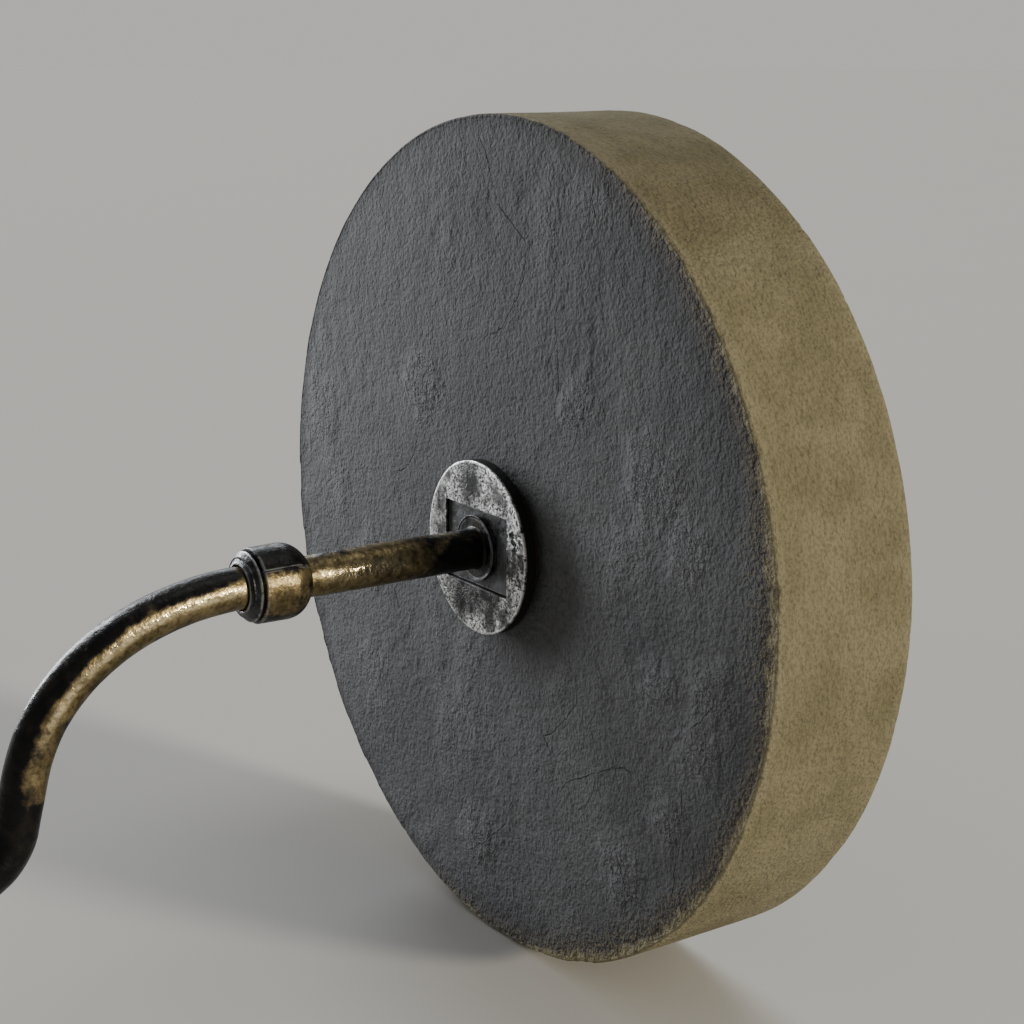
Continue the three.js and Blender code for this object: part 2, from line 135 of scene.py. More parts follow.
def outline(corners, count, step, closed=True):
    """Stations of a section, and how much of an edge each one is.

    A corner is (radius, y, cut): it is rounded off from cut before it to cut after it.
    """
    spots = [
        np.column_stack([np.broadcast_to(radius, count), np.full(count, float(y))])
        for radius, y, _ in corners
    ]
    stations = []
    for i, (_, _, cut) in enumerate(corners):
        here, before, after = spots[i], spots[i - 1], spots[(i + 1) % len(spots)]
        if cut == 0:
            stations.append((here, 0.0))
            continue
        start, end = towards(here, before, cut), towards(here, after, cut)
        stations.append((towards(here, before, 2 * cut), 0.0))
        for t in np.linspace(0, 1, 4):
            stations.append((curve([start, here, end], t), 1.0))
        stations.append((towards(here, after, 2 * cut), 0.0))
    filled = []
    following = stations[1:] + stations[:1] if closed else stations[1:]
    for (station, edge), (goal, _) in zip(stations, following):
        filled.append((station, edge))
        parts = int(np.abs(goal - station).max() / step) + 1
        filled += [(curve([station, goal], k / parts), 0.0) for k in range(1, parts)]
    return filled if closed else filled + stations[-1:]


def turn_round(stations, height=0.0):
    """Points of the stations round the axle's line, or round a line at another height."""
    spots = np.array([station for station, _ in stations])
    turn = angles(spots.shape[1])
    return np.stack(
        [spots[..., 0] * np.cos(turn), spots[..., 1], spots[..., 0] * np.sin(turn) + height], axis=-1
    )


def rings_along(line, radius, count):
    """Rings of a bent bar, square to its middle line of points (y, z)."""
    heading = np.gradient(line, axis=0)
    heading /= np.linalg.norm(heading, axis=1, keepdims=True)
    side, up = radius * np.cos(angles(count)), radius * np.sin(angles(count))
    rings = [
        np.column_stack([side, y + up * ahead_z, z - up * ahead_y])
        for (y, z), (ahead_y, ahead_z) in zip(line, heading)
    ]
    return np.array(rings)


def edges_of(stations):
    """The edge value of every point of the stations."""
    return np.concatenate([np.full(len(station), edge) for station, edge in stations])


# ---------- meshes ----------


def fractal(points, size, octaves=3, seed=0):
    """Fractal noise from about -1 to 1, whose features are about size across."""
    shift = Vector((7.1, 3.7, 5.3)) * seed
    return np.array([noise.fractal(Vector(p) / size + shift, 1.0, 2.0, octaves) for p in points])


def ramp(value, low, high):
    """0 below low, 1 above high, and smooth between them."""
    t = np.clip((value - low) / (high - low), 0, 1)
    return t * t * (3 - 2 * t)


def grid_faces(rows, columns, close_rows, close_columns):
    """Faces over a grid of points. An open side of the grid gets a cap at each end."""
    index = np.arange(rows * columns).reshape(rows, columns)
    wide = np.concatenate([index, index[:, :1]], axis=1) if close_columns else index
    full = np.concatenate([wide, wide[:1]], axis=0) if close_rows else wide
    quads = np.stack([full[:-1, :-1], full[:-1, 1:], full[1:, 1:], full[1:, :-1]], axis=-1)
    faces = quads.reshape(-1, 4).tolist()
    if not close_rows:
        faces += [index[0].tolist(), index[-1].tolist()]
    if not close_columns:
        faces += [index[:, 0].tolist(), index[:, -1].tolist()]
    return faces


def make_mesh(name, points, faces, masks, wear=()):
    """A closed mesh with masks as attributes, worn inwards by (size, depth, octaves) noises, in mm."""
    mesh = bpy.data.meshes.new(name)
    mesh.from_pydata(points.tolist(), [], faces)
    work = bmesh.new()
    work.from_mesh(mesh)
    bmesh.ops.recalc_face_normals(work, faces=work.faces)
    work.to_mesh(mesh)
    work.free()
    for number, (size, depth, octaves) in enumerate(wear):
        normals = np.zeros(len(points) * 3, np.float32)
        mesh.vertex_normals.foreach_get("vector", normals)
        share = 0.5 + 0.5 * np.clip(fractal(points, size * MM, octaves, number + 1), -1, 1)
        points = points - normals.reshape(-1, 3) * (share * depth * MM)[:, None]
    mesh.vertices.foreach_set("co", points.astype(np.float32).ravel())
    for mask, values in masks.items():
        attribute = mesh.attributes.new(mask, "FLOAT", "POINT")
        attribute.data.foreach_set("value", values.astype(np.float32))
    mesh.shade_smooth()
    mesh.set_sharp_from_angle(angle=math.radians(50))
    return mesh


def add_piece(node, mesh):
    """A fine piece that stands for a CAD node, on its body and with its finish and material slot."""
    piece = bpy.data.objects.new("fine_" + node, mesh)
    bpy.context.scene.collection.objects.link(piece)
    mesh.materials.append(finish_of(node))
    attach(piece, BODY_OF[node])
    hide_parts(node)


def add_grid(node, grid, masks, wear=(), rows_closed=True, columns_closed=True):
    """A piece whose surface is a grid of points. A side that isn't closed gets a cap at each end."""
    faces = grid_faces(*grid.shape[:2], rows_closed, columns_closed)
    mesh = make_mesh(node, grid.reshape(-1, 3), faces, masks, wear)
    add_piece(node, mesh)
    return mesh


def add_turned(node, corners, count, step, wear, height=0.0, flip=1):
    """A piece made of one closed section turned about the axle's or the pin's line."""
    stations = outline(corners, count, step)
    add_grid(node, turn_round(stations, height) * flip, {"edge": edges_of(stations)}, wear)


def near_far(near_node):
    """The near node's name and its far twin's, each with what multiplies the near one's points."""
    return ((near_node, 1), (near_node.replace("near_", "far_"), np.array([-1, -1, 1])))


# ---------- materials ----------


class Finish:
    """A procedural material. Lengths are in millimetres, in the piece's own frame."""

    def __init__(self, name):
        self.material = bpy.data.materials.new(name)
        self.material.use_nodes = True
        self.tree = self.material.node_tree
        self.shader = self.tree.nodes["Principled BSDF"]
        metres = self.node("TexCoord").outputs["Object"]
        self.place = self.stretched(1 / MM, 1 / MM, 1 / MM, metres)

    def node(self, kind, inputs=(), **settings):
        """A new node with its settings, and with its inputs given by number or name."""
        made = self.tree.nodes.new("ShaderNode" + kind)
        for key, value in settings.items():
            setattr(made, key, value)
        for key, value in dict(inputs).items():
            self.plug(made.inputs[key], value)
        return made

    def plug(self, socket, value):
        if isinstance(value, bpy.types.NodeSocket):
            self.tree.links.new(value, socket)
        elif value is not None:
            socket.default_value = value

    def math(self, operation, first, second=0.0):
        return self.node("Math", {0: first, 1: second}, operation=operation).outputs[0]

    def add(self, *values):
        return reduce(partial(self.math, "ADD"), values)

    def times(self, *values):
        return reduce(partial(self.math, "MULTIPLY"), values)

    def rest(self, share):
        """What is left of 1."""
        return self.math("SUBTRACT", 1.0, share)

    def span(self, value, low, high, to_low=0.0, to_high=1.0):
        """The value, moved smoothly from the range low to high onto the range to_low to to_high."""
        inputs = enumerate((value, low, high, to_low, to_high))
        return self.node("MapRange", inputs, interpolation_type="SMOOTHSTEP").outputs[0]

    def noise(self, size, detail=3.0, rough=0.5, warp=0.0, place=None):
        inputs = {"Vector": place or self.place, "Scale": 1 / size, "Detail": detail}
        inputs |= {"Roughness": rough, "Distortion": warp}
        return self.node("TexNoise", inputs).outputs[0]

    def blend(self, share, first, second):
        first, second = [(*item, 1) if isinstance(item, tuple) else item for item in (first, second)]
        return self.node("Mix", {0: share, 6: first, 7: second}, data_type="RGBA").outputs[2]

    def darken(self, colour, share):
        """The colour times share, from 0 to 1."""
        return self.blend(share, (0.0, 0.0, 0.0), colour)

    def axes(self):
        return self.node("SeparateXYZ", {0: self.place}).outputs

    def stretched(self, x, y, z, place=None):
        return self.node("Mapping", {"Vector": place or self.place, "Scale": (x, y, z)}).outputs[0]

    def vectors(self, operation, first, second):
        return self.node("VectorMath", {0: first, 1: second}, operation=operation).outputs

    def distance(self, place, spot):
        return self.vectors("DISTANCE", place, spot)["Value"]

    def shifted(self, size, amount, place=None):
        """The place, pushed about by noise of that size."""
        start = place or self.place
        colour = self.noise(size, 2, place=start).node.outputs["Color"]
        centred = self.vectors("SUBTRACT", colour, [0.5] * 3)[0]
        push = self.vectors("MULTIPLY", centred, [amount] * 3)[0]
        return self.vectors("ADD", start, push)[0]

    def mask(self, name):
        return self.node("Attribute", attribute_name=name).outputs["Fac"]

    def relief(self, *layers):
        """A bump whose height is the sum of (height from 0 to 1, depth)."""
        height = self.add(*[self.times(value, depth) for value, depth in layers])
        return self.node("Bump", {"Strength": 1.0, "Distance": MM, "Height": height}).outputs[0]

    def done(self, colour, rough, metallic, normal, specular=0.5):
        inputs = {"Base Color": colour, "Roughness": rough, "Metallic": metallic, "Normal": normal}
        inputs["Specular IOR Level"] = specular
        for name, value in inputs.items():
            self.plug(self.shader.inputs[name], value)
        return self.material


# Hairline cracks through the stone: the ends (x, z) and how far the middle bows out, in mm.
CRACKS = (
    ((32, 176), (-8, 122), 9),
    ((-17, 238), (2, 200), 2),
    ((2, 200), (31, 179), 2),
    ((92, 214), (101, 156), 2),
    ((-34, 238), (-31, 217), 1),
    ((65, 217), (68, 198), 1),
    ((58, 146), (61, 96), 3),
    ((68, -135), (104, -111), 4),
    ((104, -111), (138, -100), 4),
    ((-86, 54), (-114, 22), 5),
    ((-121, -56), (-115, -69), 2),
    ((85, -72), (49, -104), 4),
    ((49, -104), (57, -118), 2),
    ((104, -111), (86, -139), 3),
    ((178, -94), (176, -118), 2),
    ((174, -129), (169, -164), 3),
    ((204, -37), (186, -59), 2),
    ((121, -152), (134, -176), 2),
    ((20, -150), (-30, -205), 8),
)

# Patches where thin scales have come off the stone's faces: the middle (x, z) and radius, in mm.
SCALY_PATCHES = (
    ((-82, 84), 30),
    ((150, 66), 34),
    ((178, 36), 24),
    ((126, -163), 24),
    ((156, -45), 20),
    ((191, -72), 24),
    ((167, -117), 20),
    ((200, -36), 24),
    ((80, 93), 22),
    ((-20, -190), 24),
    ((-150, -40), 26),
)


def crack_lines(f, flat):
    """1 along each hairline crack, falling to 0 beside it."""
    width = 0.55
    wandering = f.shifted(3, 2.2, f.shifted(22, 9, flat))
    lines = 0.0
    for start, end, bow in CRACKS:
        a, b = np.array(start), np.array(end)
        half = np.linalg.norm(b - a) / 2
        radius = (half**2 + bow**2) / (2 * bow)
        normal = np.array([a[1] - b[1], b[0] - a[0]]) / (2 * half)
        centre = (a + b) / 2 - normal * (radius - bow)
        middle = (a + b) / 2 + normal * bow
        from_centre = f.distance(wandering, (centre[0], 0, centre[1]))
        from_middle = f.distance(wandering, (middle[0], 0, middle[1]))
        away = f.math("ABSOLUTE", f.math("SUBTRACT", from_centre, radius))
        line = f.span(away, 0.0, width, 1.0, 0.0)
        reach = f.span(from_middle, half * 0.75, half * 1.05, 1.0, 0.0)
        lines = f.math("MAXIMUM", lines, f.times(line, reach))
    return lines


def scaly_places(f, flat):
    ragged = f.shifted(16, 26, flat)
    total = f.span(f.noise(80, 3, place=flat), 0.54, 0.7, 0.0, 0.7)
    for (x, z), radius in SCALY_PATCHES:
        patch = f.span(f.distance(ragged, (x, 0, z)), radius * 0.3, radius * 1.1, 1.0, 0.0)
        total = f.math("MAXIMUM", total, patch)
    return total


def terraces(f):
    """Thin layers with ragged steps between them, from 0 to 1."""
    layers = f.noise(14, 4, 0.6, 0.8, f.stretched(1.4, 1, 0.65))
    steps = [f.span(layers, at, at + 0.02) for at in (0.42, 0.48, 0.54, 0.6, 0.66)]
    return f.times(f.add(*steps), 1 / len(steps))


def face_colour(f, from_rim, lower_right, scaly, between_crumbs, tooth):
    """Blue-grey, lighter where scales have come off, browner towards the rim, and with painted shade
    towards the rim, towards the top and in the grain's low spots.
    """
    z = f.axes()[2]
    drift = f.span(f.noise(70, 4, 0.6), 0.35, 0.65)
    damp = f.span(f.noise(34, 3), 0.5, 0.68, 0.0, 0.35)
    grey = f.blend(drift, (0.08, 0.081, 0.084), (0.097, 0.098, 0.1))
    grey = f.blend(damp, grey, (0.068, 0.076, 0.08))
    grey = f.blend(f.times(scaly, 0.6), grey, (0.135, 0.136, 0.14))
    # painted shade: the face darker near the rim, in a band that widens towards the lower right
    grey = f.darken(grey, f.span(from_rim, 3, f.add(12, f.times(lower_right, 40)), 0.7, 1.0))
    grey = f.darken(grey, f.rest(f.times(between_crumbs, 0.08)))
    # painted shade: the face darker towards the top
    grey = f.darken(grey, f.span(z, 40, 230, 1.0, 0.8))
    browned = f.times(f.span(from_rim, 4, 20, 1.0, 0.0), lower_right, 0.75)
    grey = f.blend(browned, grey, (0.06, 0.05, 0.037))
    # painted shade: darker in the low spots of the grain's relief
    return f.darken(grey, f.span(tooth, 0.34, 0.6, 0.66, 1.0))


def rim_colour(f, from_middle, fine):
    """Tan, lighter beside the faces, with painted shade at the top and in the low spots of its fine
    relief.
    """
    z = f.axes()[2]
    face = HALF_WIDTH / MM
    mottle = f.span(f.noise(30, 5, 0.6), 0.34, 0.66)
    tan = f.blend(mottle, (0.2, 0.177, 0.1), (0.26, 0.23, 0.137))
    tan = f.blend(f.span(from_middle, face - 9, face - 2, 0.0, 0.5), tan, (0.29, 0.258, 0.165))
    # painted shade: darker in the low spots of the fine relief
    tan = f.darken(tan, f.span(fine, 0.3, 0.6, 0.76, 1.0))
    # painted shade: the rim darker towards the top
    return f.darken(tan, f.span(z, 150, 245, 1.0, 0.7))


def stone_finish():
    f = Finish("stone")
    x, y, z = f.axes()
    flat = f.stretched(1, 0, 1)
    from_rim = f.math("SUBTRACT", STONE_RADIUS / MM, f.distance(flat, (0, 0, 0)))
    from_middle = f.math("ABSOLUTE", y)
    face = HALF_WIDTH / MM
    ragged = f.noise(9, 5, 0.65)
    lower_right = f.span(f.add(x, f.times(z, -0.35)), -60, 220)
    wide = f.span(f.noise(80, 2), 0.3, 0.65, 3, 10)
    band = f.add(1.0, f.times(lower_right, wide))
    worn = f.add(f.math("DIVIDE", from_rim, band), f.times(f.add(ragged, -0.5), 1.9))
    near_face = f.span(from_middle, face - 6, face - 2)
    on_face = f.times(f.span(worn, 0.3, 0.9), near_face)
    on_rim = f.rest(on_face)
    frayed = f.times(
        f.span(worn, 0.25, 0.6), f.span(worn, 0.8, 3.2, 1.0, 0.0), f.span(from_rim, 0, 2), near_face
    )

    grain = f.noise(3.4, 2, 0.6)
    fine = f.noise(2, 1, 0.5)
    tooth = f.add(f.times(grain, 0.65), f.times(fine, 0.35))
    scaly = f.times(scaly_places(f, flat), f.span(from_rim, 4, 14))
    crumbled = f.span(scaly, 0.55, 0.95)
    crumbs = f.span(f.noise(3.2, 2, 0.6), 0.46, 0.54)
    cracks = f.times(crack_lines(f, flat), f.span(from_rim, 2, 9))

    grey = face_colour(f, from_rim, lower_right, scaly, f.times(crumbled, f.rest(crumbs)), tooth)
    colour = f.blend(on_face, rim_colour(f, from_middle, fine), grey)
    flecks = f.span(f.noise(3, 3, 0.65), 0.5, 0.6)
    colour = f.blend(f.times(frayed, flecks, 0.5), colour, (0.15, 0.122, 0.068))
    colour = f.darken(colour, f.rest(f.times(cracks, 0.5)))
    rougher = f.add(0.9, f.times(scaly, 0.7), f.times(frayed, 1.2), f.times(on_rim, 0.4))
    normal = f.relief(
        (f.times(tooth, rougher), 1.9),
        (f.times(terraces(f), scaly), 2.0),
        (f.times(crumbs, crumbled), 1.3),
        (f.noise(16, 2), 1.2),
        (f.times(on_rim, f.noise(7, 2, 0.6, place=f.stretched(1, 2, 1))), 1.2),
        (cracks, -1.1),
    )
    return f.done(colour, f.span(grain, 0.3, 0.7, 0.82, 0.97), 0.0, normal, 0.25)


# Soft dark smudges on a flange: middle (x, z), half sizes across and up, both in mm, and how dark.
SMUDGES = (
    ((-7, 38), (13, 18), 0.9),
    ((-18, -36), (9, 14), 1.0),
    ((15, -38), (9, 13), 1.0),
    ((-2, -30), (37, 14), 0.86),
    ((-42, 16), (5, 6), 0.55),
    ((43, -12), (9, 12), 0.25),
    ((34, 20), (6, 8), 0.35),
)
CHEWED = (40, 12)  # the middle (x, z) of the chewed place beside the pocket, in mm


def worn_steel_finish():
    f = Finish("worn_steel")
    x = f.axes()[0]
    ragged = f.shifted(7, 7)
    smudge = 0.0
    for (cx, cz), (wide, tall), strength in SMUDGES:
        squeezed = f.stretched(1 / wide, 0, 1 / tall, ragged)
        reach = f.distance(squeezed, (cx / wide, 0, cz / tall))
        smudge = f.math("MAXIMUM", smudge, f.span(reach, 0.35, 1.3, strength, 0.0))
    cloud = f.noise(13, 4, 0.6)
    mottle = f.noise(3, 3, 0.65)
    specks = f.span(f.noise(1.7, 2, 0.6), 0.49, 0.57)
    speckled = f.times(specks, f.span(f.add(cloud, f.times(x, 0.0022)), 0.39, 0.53))
    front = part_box("near_flange")[0].y / MM
    from_chewed = f.distance(ragged, (CHEWED[0], front, CHEWED[1]))
    chewed = f.span(from_chewed, 6, 12, 1.0, 0.0)
    crinkles = f.noise(2.8, 2, 0.6)
    side = f.mask("patina_and_shade")
    tone = f.blend(f.span(cloud, 0.38, 0.6), (0.12, 0.119, 0.117), (0.97, 0.97, 0.96))
    tone = f.darken(tone, f.span(mottle, 0.4, 0.52, 0.28, 1.0))
    # painted shade: the flange darker towards -X
    tone = f.darken(tone, f.span(x, -40, 42, 0.62, 1.0))
    tone = f.darken(tone, f.rest(f.times(smudge, 0.93)))
    tone = f.blend(f.times(speckled, 0.92), tone, (0.012, 0.012, 0.011))
    black_white = f.blend(f.span(crinkles, 0.48, 0.56), (0.012, 0.012, 0.012), (0.6, 0.6, 0.59))
    tone = f.blend(f.times(chewed, 0.9), tone, black_white)
    # near black on the flange's side and round the pocket's walls: dark patina with painted shade
    tone = f.blend(side, tone, (0.01, 0.0096, 0.0092))
    # a lighter line along the outer front edge: edge wear and painted highlight
    shine = f.times(f.mask("edge"), f.span(f.noise(6, 2), 0.35, 0.5))
    tone = f.blend(f.times(shine, 0.65), tone, (0.7, 0.7, 0.68))
    rough = f.span(cloud, 0.3, 0.7, 0.46, 0.34)
    rough = f.math("MAXIMUM", rough, f.times(side, 0.75))
    normal = f.relief((mottle, 0.3), (speckled, -0.3), (f.times(chewed, crinkles), 0.9))
    return f.done(tone, rough, f.span(side, 0.0, 1.0, 0.95, 0.2), normal, 0.2)


def dark_steel_finish(name, dark, light, metallic):
    """Blackened steel. Its shades are greys from 0 to 1, made slightly blue."""
    f = Finish(name)
    tint = np.array([1.0, 1.02, 1.07])
    cloud = f.noise(9, 4, 0.6)
    scuffs = f.span(f.noise(2.5, 4, 0.65, place=f.stretched(1, 1, 0.4)), 0.56, 0.68)
    edge = f.times(f.mask("edge"), f.span(f.noise(4, 3), 0.3, 0.55))
    tone = f.blend(f.span(cloud, 0.35, 0.65), tuple(dark * tint), tuple(light * tint))
    tone = f.blend(f.times(scuffs, 0.4), tone, tuple(2.5 * light * tint))
    # lighter edges: edge wear and painted highlight
    tone = f.blend(f.times(edge, 0.6), tone, (0.36, 0.36, 0.36))
    rough = f.span(cloud, 0.3, 0.7, 0.32, 0.52)
    normal = f.relief((f.noise(6, 2), 0.5), (f.noise(2.4, 2, 0.6), 0.25))
    return f.done(tone, rough, metallic, normal, 0.25)


def aged_brass_finish():
    """Black patina, worn through to dull golden metal, and that to a painted highlight of bright metal,
    where masks say so.
    """
    f = Finish("aged_brass")
    broad = f.noise(26, 4, 0.6)
    small = f.noise(5, 4, 0.65)
    ragged = f.add(f.times(f.add(broad, -0.5), 1.9), small, -0.5)
    bare = f.span(f.add(f.mask("bare"), ragged), 0.12, 0.88)
    edge = f.times(f.mask("edge"), f.span(f.noise(5, 3), 0.38, 0.52))
    gold = f.blend(f.span(f.noise(12, 4, 0.6), 0.36, 0.64), (0.165, 0.128, 0.062), (0.34, 0.27, 0.14))
    gold = f.darken(gold, f.span(f.noise(3, 3, 0.6), 0.36, 0.52, 0.72, 1.0))
    black = f.blend(f.span(f.noise(8, 3), 0.45, 0.7), (0.0025, 0.0025, 0.0028), (0.01, 0.008, 0.006))
    flakes = f.span(f.noise(2.8, 3, 0.6), 0.42, 0.58)
    # painted highlight: a streak of bright cream gold, broken by flakes
    bright = f.times(f.mask("painted_highlight"), f.add(0.25, f.times(flakes, 0.75)))
    gold = f.blend(bright, gold, (0.9, 0.76, 0.47))
    tone = f.blend(bare, black, gold)
    # lighter edges, gold on bare metal and blue-grey on patina: edge wear and painted highlight
    tone = f.blend(f.times(edge, bare, 0.5), tone, (0.6, 0.5, 0.3))
    tone = f.blend(f.times(edge, f.rest(bare), 0.5), tone, (0.2, 0.205, 0.22))
    metallic = f.span(bare, 0.0, 1.0, 0.1, 1.0)
    rough = f.add(f.span(f.noise(5, 3), 0.35, 0.65, 0.09, 0.22), f.span(bright, 0.0, 0.6, 0.21, 0.0))
    normal = f.relief((f.noise(2.6, 2, 0.6), 0.32), (f.noise(9, 2), 0.5), (bare, -0.12))
    return f.done(tone, rough, metallic, normal, 0.2)


def bronze_finish():
    f = Finish("bronze")
    cloud = f.noise(8, 4, 0.6)
    rings = f.noise(0.7, 2, place=f.stretched(0.05, 1, 0.05))
    tone = f.blend(f.span(cloud, 0.35, 0.65), (0.16, 0.1, 0.045), (0.42, 0.27, 0.12))
    tone = f.blend(f.times(f.mask("edge"), 0.6), tone, (0.6, 0.43, 0.22))
    normal = f.relief((rings, 0.02), (f.noise(3, 3), 0.08))
    return f.done(tone, f.span(cloud, 0.3, 0.7, 0.3, 0.48), 1.0, normal)


def leather_finish():
    f = Finish("packing_leather")
    inputs = {"Vector": f.place, "Scale": 1 / 2.2}
    creases = f.node("TexVoronoi", inputs, feature="DISTANCE_TO_EDGE").outputs["Distance"]
    tone = f.blend(f.noise(10, 3), (0.022, 0.014, 0.009), (0.07, 0.042, 0.024))
    normal = f.relief((f.span(creases, 0.0, 0.12), 0.18), (f.noise(1, 2), 0.08))
    return f.done(tone, f.span(creases, 0.0, 0.2, 0.9, 0.7), 0.0, normal, 0.3)


def felt_finish():
    f = Finish("felt")
    fibres = f.noise(0.8, 5, 0.75, 1.5)
    tone = f.blend(fibres, (0.045, 0.033, 0.022), (0.13, 0.1, 0.07))
    return f.done(tone, f.span(fibres, 0.3, 0.7, 0.9, 1.0), 0.0, f.relief((fibres, 0.4)), 0.1)


def wood_finish(name, dark, light, rough):
    """Wood with its grain along Y."""
    f = Finish(name)
    along = f.stretched(1, 0.06, 1)
    grain = f.noise(2.6, 5, 0.6, 0.4, along)
    pores = f.span(f.noise(0.7, 2, 0.6, place=f.stretched(1, 0.04, 1)), 0.6, 0.7)
    tone = f.blend(f.span(grain, 0.3, 0.7), dark, light)
    tone = f.darken(tone, f.span(f.noise(30, 3), 0.3, 0.6, 0.7, 1.0))
    tone = f.blend(f.times(pores, 0.6), tone, (0.02, 0.012, 0.007))
    normal = f.relief((grain, 0.08), (pores, -0.1))
    return f.done(tone, f.span(grain, 0.3, 0.7, rough, rough + 0.15), 0.0, normal, 0.4)


FINISHES = {
    "stone": stone_finish(),
    "worn_steel": worn_steel_finish(),
    "dark_steel": dark_steel_finish("dark_steel", 0.02, 0.07, 0.85),
    "aged_brass": aged_brass_finish(),
    "bronze": bronze_finish(),
    "packing_leather": leather_finish(),
    "felt": felt_finish(),
    "wedge_oak": wood_finish("wedge_oak", (0.13, 0.075, 0.034), (0.3, 0.19, 0.095), 0.7),
    "grip_wood": wood_finish("grip_wood", (0.07, 0.032, 0.014), (0.21, 0.105, 0.045), 0.38),
}
PLATE_FINISH = dark_steel_finish("hub_plate_steel", 0.018, 0.074, 0.35)


def finish_of(node):
    return PLATE_FINISH if "hub_plate" in node else FINISHES[SLOT_OF[node]]


# ---------- the stone ----------

STONE_COUNT = 608  # points round the stone's outer rings
INNER_RING = 48 * MM  # the rings round the eye stay outside this radius


def widening(length):
    """Distances from 0 to below length, close together at first."""
    distances = []
    distance = 0
    spacing = 1.1 * MM
    while distance < length:
        distances.append(distance)
        distance += spacing
        spacing = min(3.1 * MM, spacing * 1.07)
    return distances


def stone_rings():
    """Rings of half the stone, from the eye over the near face to the middle of the rim.

    Each is (radii, y, inward direction (radial, y)).
    """
    edge_round = 2.2 * MM
    eye = box_radius(EYE_SIDE, EYE_SIDE, 1 * MM, STONE_COUNT // 4)
    flat_radius = STONE_RADIUS - edge_round
    rings = [(eye, FACE, (0, 1))]
    for distance in reversed(widening(flat_radius - INNER_RING)):
        radius = flat_radius - distance
        count = STONE_COUNT if radius > STONE_RADIUS / 2 else STONE_COUNT // 2
        rings.append((np.full(count, radius), FACE, (0, 1)))
    for step in (1, 2, 3):
        a = step / 4 * math.pi / 2
        radius = STONE_RADIUS - edge_round * (1 - math.sin(a))
        y = FACE + edge_round * (1 - math.cos(a))
        rings.append((np.full(STONE_COUNT, radius), y, (-math.sin(a), math.cos(a))))
    start = FACE + edge_round
    for distance in widening(-start):
        rings.append((np.full(STONE_COUNT, STONE_RADIUS), start + distance, (-1, 0)))
    return rings


def join_rings(first, second):
    """Faces between two rings of point numbers, of which one may have twice or half the points."""
    faces = []
    small, large = (first, second) if len(first) <= len(second) else (second, first)
    for i in range(len(small)):
        a, b = small[i], small[(i + 1) % len(small)]
        if len(small) == len(large):
            faces.append((a, b, large[(i + 1) % len(large)], large[i]))
            continue
        c, d, e = large[2 * i], large[2 * i + 1], large[(2 * i + 2) % len(large)]
        faces += [(a, d, c), (a, b, d), (b, e, d)]
    return faces


def stone_wear(points):
    """How deep the stone is worn at each point: low waves, lost scales, and chips along its edges."""
    radius = np.hypot(points[:, 0], points[:, 2])
    from_edge = np.hypot(STONE_RADIUS - radius, HALF_WIDTH - np.abs(points[:, 1]))
    depth = 0.35 * MM * (1 + fractal(points, 70 * MM, 2, 1))
    depth += 0.16 * MM * (1 + fractal(points, 15 * MM, 3, 2))
    chips = ramp(from_edge, 11 * MM, 0) * ramp(fractal(points, 22 * MM, 3, 3), 0.25, 0.7)
    nicks = ramp(from_edge, 5 * MM, 0) * ramp(fractal(points, 6 * MM, 3, 4), 0.15, 0.8)
    knocked = 0.2 + 0.8 * ramp(points[:, 0], -50 * MM, 120 * MM) * ramp(points[:, 1], 0, FACE)
    depth += (1.2 * MM * chips + 0.8 * MM * nicks) * knocked
    scales = ramp(fractal(points, 26 * MM, 4, 5), 0.1, 0.2)
    scales *= ramp(fractal(points, 95 * MM, 1, 6), 0.05, 0.3)
    depth += 0.5 * MM * scales * ramp(radius, 60 * MM, 75 * MM)
    return depth * ramp(radius, 40 * MM, 70 * MM)


def build_stone():
    near = stone_rings()
    far = [(radii, -y, (along[0], -along[1])) for radii, y, along in reversed(near)]
    points, inward, faces, numbers = [], [], [], []
    for radii, y, (radial, along) in near + far:
        count = len(radii)
        across, up = np.cos(angles(count)), np.sin(angles(count))
        start = sum(len(ring) for ring in points)
        points.append(np.column_stack([radii * across, np.full(count, y), radii * up]))
        inward.append(np.column_stack([radial * across, np.full(count, along), radial * up]))
        numbers.append(list(range(start, start + count)))
    for first, second in zip(numbers, numbers[1:] + numbers[:1]):
        faces += join_rings(first, second)
    points, inward = np.concatenate(points), np.concatenate(inward)
    points = points + inward * stone_wear(points)[:, None]
    add_piece("grindstone", make_mesh("grindstone", points, faces, {}))


# ---------- the clamping plates ----------

FLANGE_COUNT = 384
SHANK_HOLE = box_radius(SHANK_SIDE + 2 * GAP, SHANK_SIDE + 2 * GAP, 1 * MM, FLANGE_COUNT)


def worn_notch(points):
    """A chewed hollow in the flange beside the pocket's upper right corner."""
    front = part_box("near_flange")[0].y
    reach = np.hypot(points[..., 0] - CHEWED[0] * MM, points[..., 2] - CHEWED[1] * MM)
    ragged = fractal(points.reshape(-1, 3), 4 * MM, 3, 9).reshape(reach.shape)
    hollow = ramp(reach + 2.5 * MM * ragged, 11 * MM, 4 * MM) * (0.75 + 0.5 * ragged)
    on_front = ramp(points[..., 1], front + 2 * MM, front)
    points[..., 1] += 0.6 * MM * hollow * on_front
    return points


